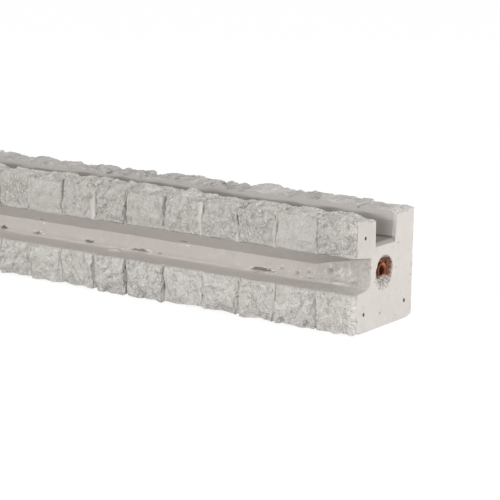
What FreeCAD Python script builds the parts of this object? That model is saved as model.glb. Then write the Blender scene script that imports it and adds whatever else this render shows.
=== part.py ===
import FreeCAD, Part
import math
import os
import random

# A rock-faced concrete corner post, lying on its bed face.
# X runs along the post to the end with the socket, Y to the back, Z up.
# Millimetres and degrees throughout.

# The post and its datum section, a square that the stones stand proud of
LENGTH = 1800.0
SIDE = 112.0
BED_DROP = 3.5            # the bed face lies this far below the datum section
BED_INSET = 12.0          # from the datum's side to the straight edge of the bed face

# Panel slots, one in the front face and one in the top face, both on its centre line
SLOT_MOUTH = 36.5
SLOT_DEPTH = 27.0
SLOT_DRAFT = 5.0
NEAR_DRAFT = 1.0          # the near wall of the top slot is almost upright
SLOPED_DRAFT = 32.5       # the upper wall of the front slot is a long slope
OPENED_DRAFT = 8.0        # which opens out to this at the socket end
OPEN_FROM = 45.0          # and starts to open at this distance from it
FRONT_CHAMFER = 1.4       # round the front slot at the socket end
TOP_CHAMFER = 2.6         # round the top slot there

# Courses of stones: the lengths that the mould liner repeats, counted from the socket end
COURSE_LENGTHS = (45.0, 50.0, 46.0, 46.0, 49.0, 52.0, 44.0, 47.0, 47.0)
SHORTEST_COURSE = 20.0
JOINT_HALF_WIDTH = 3.0
END_BEVEL = 2.8           # the stones fall back to the datum over this length at both ends
END_SHARE = 0.5           # how much of their rise the stones have beside the socket end
NEAR_BREAK = 4.5          # the band before the top slot is broken down this far beside it, at that end
FAR_BREAK = 2.0           # and the band behind it this far
BREAK_LENGTH = 30.0
BREAK_RUN = 8.0           # the break comes in over this length
STONE_RISE = 5.0          # the most that a stone stands proud of the datum
STONE_MEAN = 3.1          # what a stone stands proud on average
STONE_TILT = 1.9          # how much stones differ in rise, and from one side of a stone to the other
STONE_ROUGH = 1.1         # how much the points of one stone differ
JOINT_RISE = 0.7          # the most that the bottom of a joint stands proud of the datum
ARRIS_SHARE = 0.7         # how much of a stone's rise is left at the corners of the post
MOUTH_SHARE = 0.45        # and at the mouth of a slot
ARRIS_REACH = 0.55        # how much of the bed drop the stones along a lower corner reach on average
ARRIS_ROUGH = 0.6         # and how much that differs
STONE_CRESTS = (0.34, 0.67)   # where a stone's face breaks, as shares of its length
CREST_SHIFT = 0.07
BAND_CELLS = 3            # facets across the band beside a slot
BACK_CELLS = 6            # facets across the whole back face

# Prestressing wires, cut flush with the end faces
WIRE_DIAMETER = 4.0
WIRE_SIDE_COVER = 16.0    # from the datum's side to the wire's axis
WIRE_LOW_COVER = 16.0
WIRE_TOP_COVER = 19.0
SKIN_OVER_WIRE = 3.0      # concrete over the end of the wire at the back, near the top

# Threaded socket in the middle of the end face, at the bottom of a round recess
SOCKET_ACROSS = -1.5      # from the middle of the section
SOCKET_BELOW = 2.0        # the middle of the section
SOCKET_OUTSIDE = 17.0
SOCKET_BORE = 10.3        # inside the crests of an M12 thread
SOCKET_LENGTH = 60.0
SOCKET_CLOSED_END = 3.0   # steel between the bore and the foot
SOCKET_SETBACK = 2.4      # of its mouth behind the end face
SOCKET_LIP = 1.0          # chamfer inside its mouth
FOOT_LENGTH = 12.0        # of the flared foot that anchors it
FOOT_DIAMETER = 24.0
RECESS_MOUTH = 33.0
RECESS_FLOOR = 22.0
RECESS_DEPTH = 7.5

HALF = SIDE / 2
END_X = LENGTH / 2
BAND = (SIDE - SLOT_MOUTH) / 2
TOP_Z = BED_DROP + SIDE
SOCKET_BORE_DEPTH = SOCKET_LENGTH - FOOT_LENGTH - SOCKET_CLOSED_END
SAME_POINT = 1e-6


def chance(*place):
    """A number from -1 to 1 that is always the same at one place on the post."""
    return random.Random(" ".join(str(word) for word in place)).uniform(-1, 1)


def tangent(degrees):
    return math.tan(math.radians(degrees))


# Stations along the post

def course_joints():
    """The X of every joint between courses, from the socket end to the foot."""
    joints = [END_X]
    while True:
        step = COURSE_LENGTHS[(len(joints) - 1) % len(COURSE_LENGTHS)]
        if joints[-1] - step < -END_X + SHORTEST_COURSE:
            break
        joints.append(joints[-1] - step)
    return joints + [-END_X]


def course_stations(course, start, stop):
    """The stations of one course, as its kind, its X and its share of the way along the stone."""
    at_socket_end = start == END_X
    at_foot = stop == -END_X
    first = start - (END_BEVEL if at_socket_end else JOINT_HALF_WIDTH)
    last = stop + (END_BEVEL if at_foot else JOINT_HALF_WIDTH)
    shift = CREST_SHIFT * chance("crest", course)
    stations = [("end" if at_socket_end else "joint", start, 0.0), ("shoulder", first, 0.0)]
    for crest in STONE_CRESTS:
        stations.append(("crest", first + (last - first) * (crest + shift), crest + shift))
    stations.append(("shoulder", last, 1.0))
    if at_foot:
        stations.append(("end", stop, 1.0))
    return [(kind, x, share, course) for kind, x, share in stations]


def all_stations():
    joints = course_joints()
    stations = []
    for course in range(len(joints) - 1):
        stations += course_stations(course, joints[course], joints[course + 1])
    return stations


# The section at one station

def end_break(face, x, across):
    """How far the bands beside the top slot are broken down near the socket end."""
    depth = {"top near": NEAR_BREAK * across, "top far": FAR_BREAK * (1 - across)}.get(face, 0.0)
    return depth * min(max((BREAK_LENGTH - (END_X - x)) / BREAK_RUN, 0.0), 1.0)


def rise(face, station, across, edge_share=1.0):
    """How far the stone of a face stands off the datum, at a share of the way across the face."""
    kind, x, share, course = station
    broken = end_break(face, x, across)
    if kind == "end":
        return -broken
    if kind == "joint":
        return JOINT_RISE * (0.5 + 0.5 * chance(face, "joint", course, across))
    height = STONE_MEAN + STONE_TILT * chance(face, course)
    height += STONE_TILT * (share - 0.5) * chance(face, "along", course)
    height += STONE_TILT * (across - 0.5) * chance(face, "across", course)
    height += STONE_ROUGH * chance(face, course, share, across)
    if kind == "shoulder":
        height -= STONE_ROUGH * (0.5 + 0.5 * chance(face, "shoulder", course, share, across))
    if kind == "shoulder" and course == 0 and share == 0.0:
        edge_share *= END_SHARE
    return edge_share * min(max(height, JOINT_RISE), STONE_RISE) - broken


def slot_opening(station, chamfer):
    """How much wider and deeper a slot is at this station than along the post."""
    return chamfer if station[1] == END_X else 0.0


def sloped_draft(x):
    """The draft of the front slot's upper wall, which opens out towards the socket end."""
    opened = max(1 - (END_X - x) / OPEN_FROM, 0.0)
    return SLOPED_DRAFT + (OPENED_DRAFT - SLOPED_DRAFT) * opened


def spread(start, stop, cells):
    return [start + (stop - start) * step / cells for step in range(cells + 1)]


def edge_shares(cells, first, last):
    return [first] + [1.0] * (cells - 1) + [last]


def band_rises(face, station, cells, first, last):
    shares = edge_shares(cells, first, last)
    return [rise(face, station, step / cells, shares[step]) for step in range(cells + 1)]


def front_points(station):
    """The two bands of the front face and the slot between them, from the bed upwards."""
    x = station[1]
    wide = slot_opening(station, FRONT_CHAMFER)
    upper = tangent(sloped_draft(x))
    lower = tangent(SLOT_DRAFT)
    low = band_rises("front low", station, BAND_CELLS, ARRIS_SHARE, MOUTH_SHARE)
    high = band_rises("front high", station, BAND_CELLS, MOUTH_SHARE, ARRIS_SHARE)
    low_heights = spread(BED_DROP, BED_DROP + BAND - wide, BAND_CELLS)
    high_heights = spread(TOP_Z - BAND + wide, TOP_Z, BAND_CELLS)
    low_heights[0] -= arris_drop("front", station)
    high_heights[-1] += rise("top near", station, 0.0, ARRIS_SHARE)
    floor_y = -HALF + SLOT_DEPTH + wide
    floor = [
        (floor_y, low_heights[-1] + lower * (SLOT_DEPTH + wide)),
        (floor_y, high_heights[0] - upper * (SLOT_DEPTH + wide)),
    ]
    low_heights[-1] -= lower * low[-1]
    high_heights[0] += upper * high[0]
    return {
        "front_low": [(-HALF - out, z) for out, z in zip(low, low_heights)],
        "front_floor": floor,
        "front_high": [(-HALF - out, z) for out, z in zip(high, high_heights)],
    }


def top_points(station):
    """The two bands of the top face and the slot between them, from the front to the back."""
    wide = slot_opening(station, TOP_CHAMFER)
    upright, draft = tangent(NEAR_DRAFT), tangent(SLOT_DRAFT)
    near = band_rises("top near", station, BAND_CELLS, ARRIS_SHARE, MOUTH_SHARE)
    far = band_rises("top far", station, BAND_CELLS, MOUTH_SHARE, ARRIS_SHARE)
    near_places = spread(-HALF, -SLOT_MOUTH / 2 - wide, BAND_CELLS)
    far_places = spread(SLOT_MOUTH / 2 + wide, HALF, BAND_CELLS)
    floor_z = TOP_Z - SLOT_DEPTH - wide
    floor = [
        (near_places[-1] + upright * (SLOT_DEPTH + wide), floor_z),
        (far_places[0] - draft * (SLOT_DEPTH + wide), floor_z),
    ]
    near_places[0] -= rise("front high", station, 1.0, ARRIS_SHARE)
    near_places[-1] -= upright * near[-1]
    far_places[0] += draft * far[0]
    far_places[-1] += rise("back", station, 0.0, ARRIS_SHARE)
    return {
        "top_near": [(y, TOP_Z + out) for out, y in zip(near, near_places)],
        "top_floor": floor,
        "top_far": [(y, TOP_Z + out) for out, y in zip(far, far_places)],
    }


def arris_drop(face, station):
    """How far the stones along a lower corner reach down towards the bed face."""
    kind, x, share, course = station
    if kind in ("end", "joint"):
        return 0.0
    reach = ARRIS_REACH + ARRIS_ROUGH * chance(face, "arris", course, share)
    return BED_DROP * min(max(reach, 0.0), 1.0)


def back_points(station):
    """The back face from the top down, and the two edges of the bed face."""
    out = band_rises("back", station, BACK_CELLS, ARRIS_SHARE, ARRIS_SHARE)
    heights = spread(TOP_Z, BED_DROP, BACK_CELLS)
    heights[0] += rise("top far", station, 1.0, ARRIS_SHARE)
    heights[-1] -= arris_drop("back", station)
    bed_z = BED_DROP if station[0] == "end" else 0.0
    return {
        "back": [(HALF + off, z) for off, z in zip(out, heights)],
        "bed": [(HALF - BED_INSET, bed_z), (-HALF + BED_INSET, bed_z)],
    }


def section(station):
    """Every point of the section at a station, keyed by the stretch of outline that it lies on."""
    outline = {**front_points(station), **top_points(station), **back_points(station)}
    x = station[1]
    return {name: [FreeCAD.Vector(x, y, z) for y, z in points] for name, points in outline.items()}


# The cast body

ROUND_THE_SECTION = (
    "front_low", "front_floor", "front_high", "top_near", "top_floor", "top_far", "back", "bed")


def polygon_face(points):
    """A flat face inside a closed outline, without points that fall on the one before."""
    corners = [points[0]]
    for point in points[1:]:
        if not point.isEqual(corners[-1], SAME_POINT):
            corners.append(point)
    if corners[0].isEqual(corners[-1], SAME_POINT):
        corners.pop()
    return Part.Face(Part.makePolygon(corners + corners[:1]))


def split_quad(a, b, c, d, turn):
    """Two triangles over the quad a, b, c, d, along one diagonal or the other."""
    if turn:
        return [polygon_face([a, b, c]), polygon_face([a, c, d])]
    return [polygon_face([a, b, d]), polygon_face([b, c, d])]


def strip_faces(ring, after, first, second):
    """The facets between two sections, over the stretch of outline from one point to the next."""
    return split_quad(ring[first[0]][first[1]], ring[second[0]][second[1]],
                      after[second[0]][second[1]], after[first[0]][first[1]],
                      (first[1] + len(first[0])) % 2 == 0)


def rock_faces(rings):
    """The stones: facets over the bands, the back and the two lower corners."""
    faces = []
    for ring, after in zip(rings, rings[1:]):
        for name in ("front_low", "front_high", "top_near", "top_far", "back"):
            for step in range(len(ring[name]) - 1):
                faces += strip_faces(ring, after, (name, step), (name, step + 1))
        faces += strip_faces(ring, after, ("back", -1), ("bed", 0))
        faces += strip_faces(ring, after, ("bed", 1), ("front_low", 0))
    return faces


def flat_run(rings, first, second):
    """One flat face between two lines of points that run along the post."""
    there = [ring[first[0]][first[1]] for ring in rings]
    back = [ring[second[0]][second[1]] for ring in reversed(rings)]
    return polygon_face(there + back)


SLOT_FLATS = (
    (("front_low", -1), ("front_floor", 0)),
    (("front_floor", 0), ("front_floor", 1)),
    (("top_near", -1), ("top_floor", 0)),
    (("top_floor", 0), ("top_floor", 1)),
    (("top_floor", 1), ("top_far", 0)),
)
SLOPED_WALL = (("front_floor", 1), ("front_high", 0))
BED_FLAT = (("bed", 0), ("bed", 1))


def flat_faces(rings, stations):
    """Slot walls, slot floors and the bed face, with the chamfers at the socket end."""
    faces = [flat_run(rings[1:], first, second) for first, second in SLOT_FLATS]
    faces.append(flat_run(rings[1:-1], *BED_FLAT))
    for first, second in SLOT_FLATS + (BED_FLAT,):
        faces += strip_faces(rings[0], rings[1], first, second)
    faces += strip_faces(rings[-2], rings[-1], *BED_FLAT)
    opened = [END_X - station[1] < OPEN_FROM for station in stations].count(True)
    faces.append(flat_run(rings[opened:], *SLOPED_WALL))
    for ring, after in zip(rings[:opened], rings[1:opened + 1]):
        faces += strip_faces(ring, after, *SLOPED_WALL)
    return faces


def end_face(ring):
    return polygon_face([point for name in ROUND_THE_SECTION for point in ring[name]])


def cast_block():
    """The whole post as one closed solid, before the recess and the cast-in steel."""
    stations = all_stations()
    rings = [section(station) for station in stations]
    faces = rock_faces(rings) + flat_faces(rings, stations) + [end_face(rings[0]), end_face(rings[-1])]
    shell = Part.Shell(faces)
    shell.sewShape()
    block = Part.Solid(shell)
    if block.Volume < 0:
        block.reverse()
    return block


# Cast-in steel

ALONG = FreeCAD.Vector(1, 0, 0)
SOCKET_AXIS = FreeCAD.Vector(END_X, SOCKET_ACROSS, BED_DROP + HALF - SOCKET_BELOW)


def on_socket_axis(depth):
    """The point on the socket's axis at a depth behind the end face."""
    return SOCKET_AXIS - ALONG * depth


def wire(across, height, skin=0.0):
    start = FreeCAD.Vector(-END_X, across, height)
    return Part.makeCylinder(WIRE_DIAMETER / 2, LENGTH - skin, start, ALONG)


def wires():
    side = HALF - WIRE_SIDE_COVER
    low = BED_DROP + WIRE_LOW_COVER
    high = TOP_Z - WIRE_TOP_COVER
    return {
        "wire_front_top": wire(-side, high),
        "wire_front_bottom": wire(-side, low),
        "wire_back_top": wire(side, high, SKIN_OVER_WIRE),
        "wire_back_bottom": wire(side, low),
    }


def end_recess():
    """The cone-shaped space in the end face, in front of the socket."""
    floor = on_socket_axis(RECESS_DEPTH)
    return Part.makeCone(RECESS_FLOOR / 2, RECESS_MOUTH / 2, RECESS_DEPTH, floor, ALONG)


def socket_outside():
    """The outer form of the socket: a round tube with a flared foot."""
    radius = SOCKET_OUTSIDE / 2
    tail = on_socket_axis(SOCKET_SETBACK + SOCKET_LENGTH)
    tube = Part.makeCylinder(radius, SOCKET_LENGTH, tail, ALONG)
    foot = Part.makeCone(FOOT_DIAMETER / 2, radius, FOOT_LENGTH, tail, ALONG)
    return tube.fuse(foot)


def socket_bore():
    mouth = on_socket_axis(SOCKET_SETBACK)
    bottom = mouth - ALONG * SOCKET_BORE_DEPTH
    radius = SOCKET_BORE / 2
    bore = Part.makeCylinder(radius, SOCKET_BORE_DEPTH, bottom, ALONG)
    lip = Part.makeCone(radius, radius + SOCKET_LIP, SOCKET_LIP, mouth - ALONG * SOCKET_LIP, ALONG)
    return bore.fuse(lip)


def build():
    steel = wires()
    outside = socket_outside()
    body = cast_block().cut([end_recess(), outside] + list(steel.values())).Solids[0]
    pieces = {"concrete_body": body, "end_socket": outside.cut(socket_bore()).Solids[0], **steel}
    os.makedirs("parts", exist_ok=True)
    for name, shape in pieces.items():
        shape.exportStep(f"parts/{name}.step")
        print(name, shape.isValid(), round(shape.Volume), "mm3")


build()
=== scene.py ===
import bpy
import math
import random
import numpy as np
from mathutils import Matrix, Vector, noise
from mathutils.bvhtree import BVHTree


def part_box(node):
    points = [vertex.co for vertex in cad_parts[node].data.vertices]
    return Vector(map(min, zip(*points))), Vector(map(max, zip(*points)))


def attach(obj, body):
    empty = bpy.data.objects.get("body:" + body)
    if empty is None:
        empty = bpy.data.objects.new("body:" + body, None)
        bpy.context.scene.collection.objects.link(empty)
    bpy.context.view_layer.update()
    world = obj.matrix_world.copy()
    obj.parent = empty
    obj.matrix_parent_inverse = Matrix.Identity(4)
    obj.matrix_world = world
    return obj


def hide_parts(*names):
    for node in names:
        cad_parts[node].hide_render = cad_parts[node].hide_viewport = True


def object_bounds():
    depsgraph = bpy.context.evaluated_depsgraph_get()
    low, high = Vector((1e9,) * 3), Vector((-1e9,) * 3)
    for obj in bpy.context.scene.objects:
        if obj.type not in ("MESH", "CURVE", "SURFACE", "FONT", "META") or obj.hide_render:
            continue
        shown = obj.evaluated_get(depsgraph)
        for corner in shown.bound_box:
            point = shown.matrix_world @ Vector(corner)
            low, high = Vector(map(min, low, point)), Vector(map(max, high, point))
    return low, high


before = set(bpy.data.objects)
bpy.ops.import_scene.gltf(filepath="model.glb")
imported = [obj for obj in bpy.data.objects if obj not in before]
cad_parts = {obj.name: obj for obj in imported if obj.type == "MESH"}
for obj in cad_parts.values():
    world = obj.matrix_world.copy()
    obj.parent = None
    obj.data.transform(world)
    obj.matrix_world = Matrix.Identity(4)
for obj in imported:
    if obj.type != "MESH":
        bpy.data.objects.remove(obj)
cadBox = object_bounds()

mm = 0.001
endX = cadBox[1].x          # socket end of the post
footX = cadBox[0].x


# small helpers for working by hand

def deselectAll():
    bpy.ops.object.select_all(action="DESELECT")


def pick(obj):
    deselectAll()
    obj.select_set(True)
    bpy.context.view_layer.objects.active = obj
    return obj


def inEditMode(obj, *steps):
    pick(obj)
    bpy.ops.object.mode_set(mode="EDIT")
    for step in steps:
        step()
    bpy.ops.object.mode_set(mode="OBJECT")


def selectAllMesh():
    bpy.ops.mesh.select_all(action="SELECT")


def namedPrimitive(name):
    obj = bpy.context.object
    obj.name = name
    obj.data.name = name
    return obj


def settlePlace(obj):
    pick(obj)
    bpy.ops.object.transform_apply(location=True, rotation=True, scale=True)
    return obj


def applyModifier(obj, kind, **settings):
    pick(obj)
    modifier = obj.modifiers.new(kind.title(), kind)
    for key, value in settings.items():
        setattr(modifier, key, value)
    bpy.ops.object.modifier_apply(modifier=modifier.name)


def getPoints(obj):
    points = np.empty(len(obj.data.vertices) * 3)
    obj.data.vertices.foreach_get("co", points)
    return points.reshape(-1, 3)


def setPoints(obj, points):
    obj.data.vertices.foreach_set("co", points.astype(np.float32).ravel())
    obj.data.update()


def chance(*place):
    return random.Random(" ".join(str(word) for word in place)).uniform(-1, 1)


def lumps(u, v, w):
    # soft fractal lumps, from -1 to 1 or so
    return noise.fractal((u, v, w), 0.8, 2.0, 3)


# camera, fitted to the corners of the end face and the long edges

cameraView = {
    "lookAt": (0.7, 0.0, 0.0595),
    "azimuth": 34.759,
    "elevation": 11.66,
    "roll": 0.826,
    "distance": 1.81837,
    "slideRight": 0.028155,
    "slideUp": -0.006683,
    "focalPixels": 1700.06,
    "imagePixels": 500,
    "sensor": 36.0,
}


def placeCamera(view):
    a = math.radians(view["azimuth"])
    e = math.radians(view["elevation"])
    roll = math.radians(view["roll"])
    back = Vector((math.sin(a) * math.cos(e), -math.cos(a) * math.cos(e), math.sin(e)))
    levelRight = Vector((math.cos(a), math.sin(a), 0))
    levelUp = back.cross(levelRight)
    right = levelRight * math.cos(roll) + levelUp * math.sin(roll)
    up = levelUp * math.cos(roll) - levelRight * math.sin(roll)
    spot = Vector(view["lookAt"]) + back * view["distance"]
    spot += right * view["slideRight"] + up * view["slideUp"]
    deselectAll()
    bpy.ops.object.camera_add(location=spot, rotation=Matrix((right, up, back)).transposed().to_euler())
    camera = bpy.context.object
    camera.data.sensor_width = view["sensor"]
    camera.data.lens = view["focalPixels"] * view["sensor"] / view["imagePixels"]
    camera.data.clip_start = 0.05
    bpy.context.scene.camera = camera


placeCamera(cameraView)
print("camera placed")


# the cast post: its plain section first, in metres as the solids have it

post = {
    "half": 56 * mm,              # half the datum section
    "bedDrop": 3.5 * mm,
    "bedInset": 12 * mm,
    "bedBevel": 0.8 * mm,
    "slotMouth": 36.5 * mm,
    "slotDepth": 27 * mm,
    "slotDraft": 5.0,
    "nearDraft": 1.0,
    "slopedDraft": 32.5,
    "openedDraft": 8.0,           # the front slot's upper wall at the socket end
    "openFrom": 64 * mm,          # and how far from the end it starts to open
    "innerCorner": 7 * mm,        # rounding between the front slot's lower wall and its floor
    "frontChamfer": 0.8 * mm,
    "topChamfer": 2.6 * mm,
    "topFloorWear": 4.6 * mm,     # the top slot's floor is worn down at the end
    "endBevel": 2.8 * mm,
    "courses": (45, 50, 46, 46, 49, 52, 44, 47, 47),     # their lengths in mm, over and over
    "shortestCourse": 20,
    "cellsAcross": {
        "frontLow": 24, "slotLower": 9, "slotFloor": 9, "slotUpper": 8, "frontHigh": 24,
        "topNear": 22, "topNearWall": 4, "topFloor": 4, "topFarWall": 6, "topFar": 20,
        "back": 24, "arrisBack": 2, "bed": 3, "arrisFront": 2,
    },
    "fineCourses": 11,            # courses at the socket end that get the fine cells
    "fineCells": 30,
    "plainCells": 9,
    "jointPull": 0.45,            # how much the cells crowd towards the joints
}
half = post["half"]
topZ = post["bedDrop"] + 2 * half
band = half - post["slotMouth"] / 2


def slotOpening(x, chamfer):
    return chamfer * np.clip(1 - (endX - x) / post["endBevel"], 0, 1)


def upperDraft(x):
    opened = np.clip(1 - (endX - x) / post["openFrom"], 0, 1)
    return np.tan(np.radians(post["slopedDraft"] + (post["openedDraft"] - post["slopedDraft"]) * opened))


lowerDraft = math.tan(math.radians(post["slotDraft"]))
nearDraft = math.tan(math.radians(post["nearDraft"]))


def sectionCorners(x):
    # (y, z) of every corner of the datum section at one place along the post
    frontWide = slotOpening(x, post["frontChamfer"])
    topWide = slotOpening(x, post["topChamfer"])
    frontDeep = post["slotDepth"] + frontWide
    topDeep = post["slotDepth"] + slotOpening(x, post["topFloorWear"])
    lowMouth = post["bedDrop"] + band
    highMouth = topZ - band + frontWide
    nearMouth = -half + band - topWide
    bedZ = post["bedBevel"] * np.clip(1 - min(endX - x, x - footX) / post["endBevel"], 0, 1)
    return {
        "frontLow": (-half, post["bedDrop"]),
        "slotLower": (-half, lowMouth),
        "slotFloor": (-half + frontDeep, lowMouth + lowerDraft * frontDeep),
        "slotUpper": (-half + frontDeep, highMouth - upperDraft(x) * frontDeep),
        "frontHigh": (-half, highMouth),
        "topNear": (-half, topZ),
        "topNearWall": (nearMouth, topZ),
        "topFloor": (nearMouth + nearDraft * topDeep, topZ - topDeep),
        "topFarWall": (-nearMouth - lowerDraft * topDeep, topZ - topDeep),
        "topFar": (-nearMouth, topZ),
        "back": (half, topZ),
        "arrisBack": (half, post["bedDrop"]),
        "bed": (half - post["bedInset"], bedZ),
        "arrisFront": (-half + post["bedInset"], bedZ),
    }


stretches = list(post["cellsAcross"])


def sectionOutline(x):
    # the whole outline, one list of (stretch, share of the way across it, y, z)
    corners = sectionCorners(x)
    outline = []
    for name, after in zip(stretches, stretches[1:] + stretches[:1]):
        cells = post["cellsAcross"][name]
        start, stop = Vector(corners[name]), Vector(corners[after])
        for step in range(cells):
            y, z = start.lerp(stop, step / cells)
            outline.append((name, step / cells, y, z))
    return outline


def courseJoints():
    joints = [endX]
    while True:
        step = post["courses"][(len(joints) - 1) % len(post["courses"])] * mm
        if joints[-1] - step < footX + post["shortestCourse"] * mm:
            break
        joints.append(joints[-1] - step)
    return np.array(joints + [footX])


plainOutline = sectionOutline(0.0)
joints = courseJoints()
courseCount = len(joints) - 1


def extrudeSection():
    deselectAll()
    bpy.ops.mesh.primitive_circle_add(vertices=len(plainOutline), fill_type="NGON")
    body = namedPrimitive("concretePost")
    setPoints(body, np.array([(footX, y, z) for name, share, y, z in plainOutline]))
    inEditMode(
        body,
        selectAllMesh,
        lambda: bpy.ops.mesh.extrude_region_move(
            TRANSFORM_OT_translate={"value": (endX - footX, 0, 0)}),
        selectAllMesh,
        lambda: bpy.ops.mesh.normals_make_consistent(inside=False),
    )
    return body


# holes for the cast-in steel, and the rough recess in front of the socket

socketLow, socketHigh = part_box("end_socket")
socketAxis = (socketLow + socketHigh) / 2
recess = {
    "mouth": 16.5 * mm,
    "floor": 11 * mm,
    "depth": 7.5 * mm,
    "rough": 1.3 * mm,
    "lumpSize": 4.5 * mm,
    "around": 56,
    "cuts": 5,
    "pits": (                     # across, up and size, in mm
        (-8.2, 14.5, 1.5), (-5.9, 16.9, 1.2), (30.0, 62.0, 0.8), (23.0, 34.0, 0.7), (-33.0, 71.0, 0.7),
        (38.0, 88.0, 0.8), (8.0, 28.0, 0.6),
    ),
}
socket = {
    "outside": 8.5 * mm,
    "foot": 12 * mm,
    "footLength": 12 * mm,
    "bore": 5.15 * mm,
    "closedEnd": 3 * mm,
    "lip": 1 * mm,
    "threadPitch": 1.75 * mm,
    "threadDepth": 0.75 * mm,
    "around": 56,
    "clear": 0.03 * mm,           # keeps the tube off the concrete round it
    "eaten": 0.5 * mm,            # how far rust has eaten its mouth back
    "eatenFrom": 4 * mm,
    "eatenSize": 3 * mm,
}


def boreCutter(name, radius, low, high, y, z, radiusAtHigh=None, around=24):
    deselectAll()
    bpy.ops.mesh.primitive_cone_add(
        vertices=around, radius1=radius, radius2=radiusAtHigh or radius, depth=high - low,
        location=((low + high) / 2, y, z), rotation=(0, math.pi / 2, 0))
    return settlePlace(namedPrimitive(name))


def cutAway(body, cutter):
    applyModifier(body, "BOOLEAN", operation="DIFFERENCE", object=cutter, solver="EXACT")
    bpy.data.objects.remove(cutter)


def cutRecess(body):
    past = 1 * mm
    slope = (recess["mouth"] - recess["floor"]) / recess["depth"]
    cutter = boreCutter("recessCutter", recess["floor"], endX - recess["depth"], endX + past,
                        socketAxis.y, socketAxis.z, recess["mouth"] + slope * past, recess["around"])

    def selectSides():
        bpy.ops.mesh.select_all(action="DESELECT")
        bpy.ops.object.mode_set(mode="OBJECT")
        for edge in cutter.data.edges:
            ends = [cutter.data.vertices[i].co.x for i in edge.vertices]
            edge.select = abs(ends[0] - ends[1]) > mm
        bpy.ops.object.mode_set(mode="EDIT")

    bpy.context.tool_settings.mesh_select_mode = (False, True, False)
    inEditMode(cutter, selectSides, lambda: bpy.ops.mesh.subdivide(number_cuts=recess["cuts"]))
    points = getPoints(cutter)
    for i, (x, y, z) in enumerate(points):
        spoke = Vector((0, y - socketAxis.y, z - socketAxis.z)).normalized()
        lump = lumps(*(Vector((x, y, z)) / recess["lumpSize"]))
        points[i] += np.array(spoke) * recess["rough"] * lump
    setPoints(cutter, points)
    cutAway(body, cutter)


def cutPits(body):
    # blowholes in the end face, from flattened balls
    for y, z, size in recess["pits"]:
        deselectAll()
        bpy.ops.mesh.primitive_ico_sphere_add(
            subdivisions=2, radius=size * mm, location=(endX + 0.25 * size * mm, y * mm, z * mm),
            rotation=(chance(y, "turn"), 0, 0), scale=(0.8, 1.3, 0.8))
        cutAway(body, settlePlace(namedPrimitive("pitCutter")))


def cutSteelHoles(body):
    for name in sorted(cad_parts):
        if not name.startswith("wire"):
            continue
        low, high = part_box(name)
        past = 5 * mm
        stop = high.x + past if high.x > endX - mm else high.x
        cutAway(body, boreCutter("wireCutter", (high.y - low.y) / 2, low.x - past, stop,
                                 (low.y + high.y) / 2, (low.z + high.z) / 2, around=20))
    cutAway(body, boreCutter("socketCutter", socket["outside"], socketLow.x, endX - recess["depth"] + mm,
                             socketAxis.y, socketAxis.z, around=socket["around"]))
    cutAway(body, boreCutter("footCutter", socket["foot"], socketLow.x, socketLow.x + socket["footLength"],
                             socketAxis.y, socketAxis.z, socket["outside"], socket["around"]))
    inEditMode(body, selectAllMesh, lambda: bpy.ops.mesh.remove_doubles(threshold=0.002 * mm))


# stations along the post: the long edges are divided course by course

def selectLongEdges(body, lowX, highX):
    points = getPoints(body)
    ends = np.empty(len(body.data.edges) * 2, dtype=np.int64)
    body.data.edges.foreach_get("vertices", ends)
    a, b = points[ends[0::2]], points[ends[1::2]]
    onOutline = placeOnOutline(a) >= 0
    straight = np.abs(a[:, 1:] - b[:, 1:]).max(axis=1) < 1e-6
    middle = (a[:, 0] + b[:, 0]) / 2
    inside = (middle > lowX) & (middle < highX) & (np.abs(a[:, 0] - b[:, 0]) > 1e-6)
    chosen = onOutline & straight & inside
    body.data.vertices.foreach_set("select", np.zeros(len(points), dtype=bool))
    body.data.polygons.foreach_set("select", np.zeros(len(body.data.polygons), dtype=bool))
    body.data.edges.foreach_set("select", chosen)


outlineKeys = np.array([round(y * 1e6) * 1000003 + round(z * 1e6) for name, share, y, z in plainOutline])
outlineOrder = np.argsort(outlineKeys)


def placeOnOutline(points):
    # the number of the place round the outline that each point lies on, or -1
    micro = np.rint(points[:, 1:] * 1e6).astype(np.int64)
    keys = micro[:, 0] * 1000003 + micro[:, 1]
    found = outlineOrder[np.clip(np.searchsorted(outlineKeys[outlineOrder], keys), 0, len(outlineKeys) - 1)]
    return np.where(outlineKeys[found] == keys, found, -1)


def divideCourses(body):
    bpy.context.tool_settings.mesh_select_mode = (False, True, False)
    selectLongEdges(body, footX, endX)
    inEditMode(body, lambda: bpy.ops.mesh.subdivide(number_cuts=courseCount - 1))
    points = getPoints(body)
    evenStep = (endX - footX) / courseCount
    ring = np.rint((points[:, 0] - footX) / evenStep).astype(int)
    onRing = placeOnOutline(points) >= 0
    points[onRing, 0] = joints[::-1][ring[onRing]]
    setPoints(body, points)
    for course in range(courseCount):
        cells = post["fineCells"] if course < post["fineCourses"] else post["plainCells"]
        selectLongEdges(body, joints[course + 1], joints[course])
        inEditMode(body, lambda: bpy.ops.mesh.subdivide(number_cuts=cells - 1))


def ringGrid(body):
    # vertex numbers as a grid: rings from the socket end to the foot, by places round the outline
    points = getPoints(body)
    place = placeOnOutline(points)
    numbers = np.nonzero(place >= 0)[0]
    ringX = np.unique(np.round(points[numbers, 0], 6))[::-1]
    ring = len(ringX) - 1 - np.searchsorted(ringX[::-1], np.round(points[numbers, 0], 6))
    grid = np.zeros((len(ringX), len(plainOutline)), dtype=np.int64)
    grid[ring, place[numbers]] = numbers
    return grid, ringX


body = extrudeSection()
cutRecess(body)
cutSteelHoles(body)
cutPits(body)
divideCourses(body)
grid, ringX = ringGrid(body)
print("post extruded and divided:", grid.shape, len(body.data.polygons))


# the stones: pressed onto the solid's facets, then carved

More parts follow.
